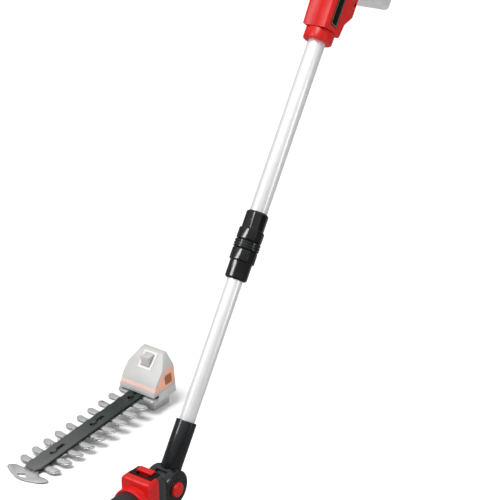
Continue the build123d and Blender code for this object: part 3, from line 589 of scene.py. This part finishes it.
class Workpiece:
    """One mesh on the bench, shaped in edit mode and then set in its place."""

    clearance = 0.01

    def __init__(self, name: str) -> None:
        """Starts with nothing selected.

        Args:
            name: The piece's name.
        """
        if bpy.context.mode != "OBJECT":
            bpy.ops.object.mode_set(mode="OBJECT")
        bpy.ops.object.select_all(action="DESELECT")
        self.name = name
        self.piece: Any = None

    def _open(self) -> None:
        """Names the new primitive and enters edit mode."""
        self.piece = bpy.context.object
        bpy.ops.object.transform_apply(location=True, rotation=True, scale=True)
        self.piece.name = self.name
        self.piece.data.name = self.name
        bpy.ops.object.mode_set(mode="EDIT")

    def box(self, low: Point, high: Point) -> "Workpiece":
        """Starts from a box between two corners."""
        middle = [(a + b) / 2 for a, b in zip(low, high)]
        bpy.ops.mesh.primitive_cube_add(size=1.0, location=middle)
        self._open()
        sizes = [b - a for a, b in zip(low, high)]
        bpy.ops.transform.resize(value=sizes, center_override=middle)
        return self

    def turned(self, profile: Sequence[tuple[float, float]], sides: int) -> "Workpiece":
        """Starts from a disc and draws it up along z through a profile.

        Args:
            profile: Pairs of height and radius.
            sides: Number of flats round the axis.

        Returns:
            The workpiece.
        """
        height, radius = profile[0]
        bpy.ops.mesh.primitive_circle_add(
            vertices=sides, radius=radius, fill_type="NGON", location=(0, 0, height)
        )
        self._open()
        for next_height, next_radius in profile[1:]:
            bpy.ops.mesh.extrude_region_move(
                TRANSFORM_OT_translate={"value": (0, 0, next_height - height)}
            )
            share = next_radius / radius
            bpy.ops.transform.resize(
                value=(share, share, 1), center_override=(0, 0, next_height)
            )
            height, radius = next_height, next_radius
        bpy.ops.mesh.select_all(action="SELECT")
        bpy.ops.mesh.normals_make_consistent(inside=False)
        return self

    def copied(self, node: Any) -> "Workpiece":
        """Starts from a merged copy of a carried-over node."""
        bpy.context.view_layer.objects.active = node
        node.select_set(True)
        bpy.ops.object.duplicate()
        self.piece = bpy.context.object
        world = self.piece.matrix_world.copy()
        self.piece.parent = None
        self.piece.matrix_world = world
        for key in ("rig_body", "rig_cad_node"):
            if key in self.piece:
                del self.piece[key]
        self._open()
        bpy.ops.mesh.select_all(action="SELECT")
        bpy.ops.mesh.remove_doubles(threshold=MERGE)
        bpy.ops.mesh.dissolve_limited(angle_limit=FLAT_ANGLE)
        return self

    def _select(self, kind: Part) -> bmesh.types.BMesh:
        """Clears the selection and hands out the mesh with fresh normals."""
        bpy.ops.mesh.select_mode(type=kind.value)
        bpy.ops.mesh.select_all(action="DESELECT")
        mesh = bmesh.from_edit_mesh(self.piece.data)
        mesh.normal_update()
        return mesh

    def pick(self, test: Test) -> "Workpiece":
        """Selects the faces that pass a test on their middle and normal."""
        mesh = self._select(Part.FACE)
        for face in mesh.faces:
            face.select_set(test(face.calc_center_median(), face.normal))
        bmesh.update_edit_mesh(self.piece.data)
        return self

    def rim(self, up: Vector, clear: Callable[[Vector], bool]) -> "Workpiece":
        """Selects the vertices where faces that look up meet upright walls."""
        mesh = self._select(Part.VERT)
        for edge in mesh.edges:
            rises = [face.normal.dot(up) for face in edge.link_faces]
            upright = min(abs(rise) for rise in rises) < WALL_LEAN
            if len(rises) == 2 and upright and max(rises) > TOP_LEAN:
                for vertex in edge.verts:
                    if clear(vertex.co):
                        vertex.select_set(True)
        bmesh.update_edit_mesh(self.piece.data)
        return self

    def inset(self, amount: float, depth: float = 0.0) -> "Workpiece":
        """Insets the selected faces together."""
        bpy.ops.mesh.inset(thickness=amount, depth=depth, use_even_offset=True)
        return self

    def inset_each(self, amount: float, depth: float = 0.0) -> "Workpiece":
        """Insets each selected face by itself."""
        bpy.ops.mesh.inset(thickness=amount, depth=depth, use_individual=True)
        return self

    def move(self, shift: Iterable[float]) -> "Workpiece":
        """Moves the selection."""
        bpy.ops.transform.translate(value=tuple(shift))
        return self

    def close(self) -> "Workpiece":
        """Leaves edit mode."""
        bpy.ops.object.mode_set(mode="OBJECT")
        return self

    def cut(self, cutter: "Workpiece") -> "Workpiece":
        """Cuts another workpiece out of this one and discards it."""
        cutter.close()
        self.close()
        bpy.ops.object.select_all(action="DESELECT")
        bpy.context.view_layer.objects.active = self.piece
        self.piece.select_set(True)
        modifier = self.piece.modifiers.new("cut", "BOOLEAN")
        modifier.operation = "DIFFERENCE"
        modifier.object = cutter.piece
        bpy.ops.object.modifier_apply(modifier="cut")
        bpy.data.objects.remove(cutter.piece)
        return self

    def bore(self, low: float, high: float, radius: float, sides: int) -> "Workpiece":
        """Bores a hole along z right through, with a clearance past both ends.

        Args:
            low: Height of the lower face.
            high: Height of the upper face.
            radius: Radius of the hole.
            sides: Number of flats round the hole.

        Returns:
            The workpiece.
        """
        ends = [(low - self.clearance, radius), (high + self.clearance, radius)]
        return self.cut(Workpiece("bore").turned(ends, sides))

    def soften(self, width: float, segments: int = 2, angle: float = 40.0) -> "Workpiece":
        """Rounds every sharp edge a little and smooths the shading."""
        self.close()
        bpy.context.view_layer.objects.active = self.piece
        self.piece.select_set(True)
        modifier = self.piece.modifiers.new("soften", "BEVEL")
        modifier.width = width
        modifier.segments = segments
        modifier.limit_method = "ANGLE"
        modifier.angle_limit = math.radians(angle)
        bpy.ops.object.modifier_apply(modifier="soften")
        bpy.ops.object.shade_smooth_by_angle(angle=SMOOTH_ANGLE)
        return self

    def smoothed(self, angle: float) -> "Workpiece":
        """Leaves edit mode and smooths the shading up to an angle in radians."""
        self.close()
        bpy.ops.object.shade_smooth_by_angle(angle=angle)
        return self

    def seat(self, seat: Seat) -> Any:
        """Sets the piece in its place and leaves the object at the origin.

        Args:
            seat: The axes it was modelled in.

        Returns:
            The finished object.
        """
        self.close()
        self.piece.matrix_world = seat.matrix()
        bpy.context.view_layer.objects.active = self.piece
        self.piece.select_set(True)
        bpy.ops.object.transform_apply(location=True, rotation=True, scale=True)
        return self.piece


@dataclass
class Castings:
    """Moulded and machined parts whose sharp edges are rounded as the real ones are."""

    widths: dict[str, float] = field(
        default_factory=lambda: {
            "arm_sleeve": 0.8,
            "knuckle": 0.9,
            "pivot_cap": 0.5,
            "pivot_button": 0.5,
            "adapter_tongue": 0.9,
            "adapter_body": 1.0,
            "top_plate": 0.5,
            "release_slider": 0.6,
            "grip_tube": 0.8,
            "motor_shell_right": 0.6,
            "motor_shell_left": 0.6,
            "dock_ring": 0.7,
            "guide_bar": 0.4,
            "blade_bolts": 0.5,
            "head_cover": 0.6,
            "head_base": 1.2,
            "head_dock": 0.7,
            "head_latch": 0.6,
            "side_panels": 0.25,
            "side_emblems": 0.25,
            "neck_ring": 0.6,
            "handle_shell_right": 0.7,
            "handle_shell_left": 0.7,
            "label_panels": 0.3,
            "grip_cover": 0.8,
            "trigger": 0.7,
            "lock_off_button": 0.6,
            "battery_rail": 0.5,
            "battery_lid": 0.8,
            "battery_case": 0.8,
            "battery_release": 0.6,
            "strap_eye": 0.5,
            "upper_tube": 0.3,
            "lower_tube": 0.3,
        }
    )

    finishes: dict[str, str] = field(default_factory=lambda: {"head_cover": "head_shell"})

    def build(self, shop: Workshop) -> None:
        """Rounds and issues every casting."""
        for node, width in self.widths.items():
            work = Workpiece(f"{node}_finished").copied(shop.frame["nodes"][node])
            piece = work.soften(width * MM).piece
            slot = shop.slot_of(node)
            shop.issue(piece, shop.body_of(node), self.finishes.get(node, slot), [node])


@dataclass
class LatchFrame:
    """Raised frame round the latch on the sloping face of the cutting head."""

    middle: Point = (0.0, 0.281, 0.0474)
    slope: float = 44.2
    inner: tuple[float, float] = (0.0102, 0.0118)
    outer: tuple[float, float] = (0.0134, 0.0152)
    height: float = 0.0009
    foot: float = 0.0002
    rounding: float = 0.0004

    def seat(self) -> Seat:
        """The axes of the sloping face at the middle of the latch."""
        angle = math.radians(self.slope)
        right, back, up = self.middle
        origin = HEAD_ORIGIN + HEAD_RIGHT * right + HEAD_BACK * back + HEAD_UP * up
        rising = HEAD_BACK * math.cos(angle) + HEAD_UP * math.sin(angle)
        return Seat(origin, HEAD_RIGHT, rising, HEAD_RIGHT.cross(rising))

    def build(self, shop: Workshop) -> None:
        """Builds the frame."""
        wide, tall = self.outer
        work = Workpiece("latch_frame").box((-wide, -tall, -self.foot), (wide, tall, self.height))
        wide, tall = self.inner
        cutter = Workpiece("opening").box((-wide, -tall, -self.height), (wide, tall, 0.01))
        work.cut(cutter)
        piece = work.soften(self.rounding).seat(self.seat())
        shop.issue(piece, shop.body_of("head_cover"), "pale_frame", [])


@dataclass
class TiltJoint:
    """Raised ring round the push button of the tilt joint."""

    face: float = 0.02
    ring_radius: float = 0.0142
    bore_radius: float = 0.0109
    lip: float = 0.0009
    chamfer: float = 0.0006
    foot: float = 0.0001

    def build(self, shop: Workshop) -> None:
        """Builds the ring."""
        profile = [
            (self.face - self.foot, self.ring_radius),
            (self.face + self.lip * 0.5, self.ring_radius),
            (self.face + self.lip, self.ring_radius - self.chamfer),
        ]
        work = Workpiece("button_bezel").turned(profile, SIDES)
        work.bore(self.face, self.face, self.bore_radius, SIDES).smoothed(FINE_ANGLE)
        piece = work.seat(PIN_SEAT)
        shop.issue(piece, shop.body_of("knuckle"), "black", [])


@dataclass
class Blades:
    """The two toothed blades with their ground edges."""

    grind: float = 0.0021
    drop: float = 0.0008
    slot_half: float = 0.0095
    flat: float = 0.95
    shading: float = 12.0

    def ground(self, shop: Workshop, node: str) -> None:
        """Grinds the outline of one blade to a slope.

        Args:
            shop: The workshop.
            node: The blade's node.
        """
        work = Workpiece(f"{node}_ground").copied(shop.frame["nodes"][node])
        work.pick(lambda middle, normal: normal.dot(HEAD_UP) > self.flat)
        work.inset(self.grind)
        work.rim(
            HEAD_UP, lambda place: abs((place - HEAD_ORIGIN).dot(HEAD_RIGHT)) > self.slot_half
        )
        work.move(HEAD_UP * -self.drop)
        piece = work.smoothed(math.radians(self.shading)).piece
        shop.issue(piece, shop.body_of(node), "ground_steel", [node])

    def build(self, shop: Workshop) -> None:
        """Builds both blades."""
        self.ground(shop, "lower_blade")
        self.ground(shop, "upper_blade")


@dataclass
class Collar:
    """Twist collar of the telescope: faceted caps and bands with a ribbed ring between."""

    start: float = 0.2924
    cap: float = 0.026
    band: float = 0.0172
    ring: float = 0.0126
    cap_radius: float = 0.0153
    band_radius: float = 0.0174
    ring_radius: float = 0.0185
    flats: int = 10
    tube_radius: float = 0.01255
    inner_radius: float = 0.0113
    ring_bore: float = 0.0149
    fit: float = 0.985
    nose: float = 0.84
    rounding: float = 0.0007
    corner: float = 20.0
    groove: float = 0.93
    tooth_margin: float = 0.00025
    tooth_depth: float = 0.0005
    gap: float = 0.0003

    def half(self, name: str, profile: list[tuple[float, float]], bore: float) -> Workpiece:
        """One faceted half with its bore.

        Args:
            name: The piece's name.
            profile: Heights and corner radii.
            bore: Radius of the bore.

        Returns:
            The open workpiece.
        """
        work = Workpiece(name).turned(profile, self.flats)
        low, high = profile[0][0], profile[-1][0]
        work.bore(low, high, bore, BORE_SIDES)
        return work.soften(self.rounding, 3, self.corner)

    def build(self, shop: Workshop) -> None:
        """Builds the two halves and the ribbed ring."""
        turn = self.fit / math.cos(math.pi / self.flats)
        cap, band = self.cap_radius * turn, self.band_radius * turn
        a, b = self.start, self.start + self.cap
        c = b + self.band
        lower = [
            (a, cap * self.nose),
            (a + 2.4 * MM, cap),
            (b - 0.4 * MM, cap),
            (b, band * 0.97),
            (b + 1.0 * MM, band),
            (c - 1.4 * MM, band),
            (c, band * 0.95),
        ]
        piece = self.half("collar_nut_faceted", lower, self.inner_radius).seat(POLE_SEAT)
        shop.issue(piece, Body.COLLAR.value, "collar", ["collar_nut"])
        d = c + self.ring
        e = d + self.band - 1.0 * MM
        f = e + self.cap
        upper = [
            (d + 0.2 * MM, band * 0.95),
            (d + 1.4 * MM, band),
            (e - 1.0 * MM, band),
            (e, band * 0.97),
            (e + 0.4 * MM, cap),
            (f - 2.4 * MM, cap),
            (f, cap * self.nose),
        ]
        piece = self.half("collar_body_faceted", upper, self.tube_radius).seat(POLE_SEAT)
        shop.issue(piece, Body.HANDLE.value, "collar", ["collar_body"])
        self.ribbed(shop, c + self.gap, d - self.gap)

    def ribbed(self, shop: Workshop, low: float, high: float) -> None:
        """Builds the ring with its two grooves and the row of slanted teeth between them.

        Args:
            shop: The workshop.
            low: Height of its lower face.
            high: Height of its upper face.
        """
        radius, step = self.ring_radius, (high - low) / 12
        profile = [
            (low, radius * 0.9),
            (low + step, radius * 0.99),
            (low + 2.6 * step, radius),
            (low + 3.0 * step, radius * self.groove),
            (low + 4.0 * step, radius * self.groove),
            (low + 4.4 * step, radius),
            (low + 6.6 * step, radius),
            (low + 7.0 * step, radius * self.groove),
            (low + 8.0 * step, radius * self.groove),
            (low + 8.3 * step, radius * 0.985),
            (low + 11.0 * step, radius * 0.985),
            (high, radius * 0.9),
        ]
        work = Workpiece("collar_ring_ribbed").turned(profile, SIDES)
        work.pick(
            lambda middle, normal: low + 8.4 * step < middle.z < low + 10.9 * step
            and abs(normal.z) < 0.3
            and int((math.atan2(middle.y, middle.x) / math.tau % 1.0) * SIDES) % 3 != 0
        )
        work.inset_each(self.tooth_margin, -self.tooth_depth)
        work.bore(low, high, self.ring_bore, BORE_SIDES).smoothed(FINE_ANGLE)
        piece = work.seat(POLE_SEAT)
        shop.issue(piece, Body.COLLAR.value, "collar_grip", ["collar_ring"])


@dataclass(frozen=True)
class SoftBox:
    """One soft rectangular light.

    The direction is seen from the middle of the pole; distance and size are in metres, and
    the power is in watts.
    """

    name: str
    direction: Point
    distance: float
    size: tuple[float, float]
    power: float


@dataclass
class Studio:
    """Pale floor, soft lights and the camera."""

    boxes: tuple[SoftBox, ...] = (
        SoftBox("left_box", (-0.46, -0.67, 0.58), 1.9, (0.22, 1.4), 16.0),
        SoftBox("right_strip", (0.99, 0.09, 0.1), 1.8, (0.08, 1.4), 4.0),
    )
    sun_direction: Point = (0.07, -0.4, 0.9)
    sun_strength: float = 1.9
    sun_spread: float = 20.0
    aim_height: float = 0.35
    horizon: Colour = (0.12, 0.12, 0.125)
    zenith: float = 0.7
    floor_drop: float = 0.0005
    camera_offset: Point = (1.07549, -1.33367, 1.06291)
    camera_back: Point = (0.5292, -0.7544, 0.3882)

    focal: float = 1477.0
    frame_width: float = 500.0
    sensor: float = 36.0
    floor_half: float = 24.0
    floor_colour: Colour = (0.93, 0.93, 0.93)
    # painted dark reflection: the floor colour that glossy rays see
    floor_painted_dark_reflection: Colour = (0.16, 0.16, 0.165)
    surround: float = 0.72

    def floor(self) -> None:
        """Lays a pale floor under the object; glossy reflections see it dark grey, a painted dark
        reflection.
        """
        bpy.ops.object.select_all(action="DESELECT")
        place = (0, 0, -self.floor_drop)
        bpy.ops.mesh.primitive_plane_add(size=2 * self.floor_half, location=place)
        floor = bpy.context.object
        floor.name = "studio_floor"
        net = Net("studio_floor")
        # Painted shade in reflections: glossy rays see the floor dark grey, which darkens the
        # edges of shiny parts.
        path = net.node("ShaderNodeLightPath", {}, {})
        mirrored = Value(net, path.outputs["Is Glossy Ray"])
        tint = net.blend(mirrored, rgba(self.floor_colour), rgba(self.floor_painted_dark_reflection))
        floor.data.materials.append(
            net.finish({"Base Color": tint, "Roughness": 0.9, "Specular IOR Level": 0.1})
        )

    def light(self, box: SoftBox) -> None:
        """Hangs one soft light facing the object."""
        data = bpy.data.lights.new(box.name, "AREA")
        data.shape = "RECTANGLE"
        data.size, data.size_y = box.size
        data.energy = box.power
        lamp = bpy.data.objects.new(box.name, data)
        bpy.context.collection.objects.link(lamp)
        aim = TOOL + UP_POLE * self.aim_height
        away = Vector(box.direction).normalized()
        lamp.location = aim + away * box.distance
        lamp.rotation_euler = away.to_track_quat("Z", "Y").to_euler()

    def sun(self) -> None:
        """Hangs the broad key light that whitens the floor evenly."""
        data = bpy.data.lights.new("key", "SUN")
        data.energy = self.sun_strength
        data.angle = math.radians(self.sun_spread)
        lamp = bpy.data.objects.new("key", data)
        bpy.context.collection.objects.link(lamp)
        lamp.rotation_euler = Vector(self.sun_direction).to_track_quat("Z", "Y").to_euler()

    def world(self) -> None:
        """Sets a surround that shows white and lights from a bright zenith to a dim horizon."""
        world = bpy.data.worlds.new("studio")
        bpy.context.scene.world = world
        world.use_nodes = True
        tree = world.node_tree
        where = tree.nodes.new("ShaderNodeTexCoord")
        split = tree.nodes.new("ShaderNodeSeparateXYZ")
        ramp = tree.nodes.new("ShaderNodeValToRGB")
        tree.links.new(where.outputs["Generated"], split.inputs[0])
        tree.links.new(split.outputs["Z"], ramp.inputs[0])
        low, high = ramp.color_ramp.elements
        low.position, low.color = 0.0, rgba(self.horizon)
        high.position, high.color = self.zenith, rgba(WHITE)
        back = tree.nodes["Background"]
        seen = tree.nodes.new("ShaderNodeBackground")
        seen.inputs[0].default_value = rgba(WHITE)
        path = tree.nodes.new("ShaderNodeLightPath")
        mix = tree.nodes.new("ShaderNodeMixShader")
        tree.links.new(ramp.outputs[0], back.inputs[0])
        back.inputs[1].default_value = self.surround
        tree.links.new(path.outputs["Is Camera Ray"], mix.inputs[0])
        tree.links.new(back.outputs[0], mix.inputs[1])
        tree.links.new(seen.outputs[0], mix.inputs[2])
        tree.links.new(mix.outputs[0], tree.nodes["World Output"].inputs[0])

    def camera(self) -> None:
        """Sets the camera at its measured place."""
        data = bpy.data.cameras.new("view")
        data.sensor_width = self.sensor
        data.lens = self.focal / self.frame_width * self.sensor
        data.clip_end = 50.0
        eye = bpy.data.objects.new("view", data)
        bpy.context.collection.objects.link(eye)
        back = Vector(self.camera_back).normalized()
        right = Z_AXIS.cross(back).normalized()
        matrix = Matrix((right, back.cross(right), back)).transposed().to_4x4()
        matrix.translation = TOOL + Vector(self.camera_offset)
        eye.matrix_world = matrix
        bpy.context.scene.camera = eye

    def build(self) -> None:
        """Builds the whole studio."""
        bpy.context.scene.view_settings.view_transform = "Standard"
        self.floor()
        self.sun()
        for box in self.boxes:
            self.light(box)
        self.world()
        self.camera()


def main() -> None:
    """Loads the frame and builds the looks."""
    logging.basicConfig(level=logging.INFO)
    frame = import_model()
    shop = Workshop(frame)
    shop.dress_nodes()
    for assembly in (Castings(), LatchFrame(), TiltJoint(), Blades(), Collar()):
        assembly.build(shop)
    Studio().build()


if __name__ == "__main__":
    main()
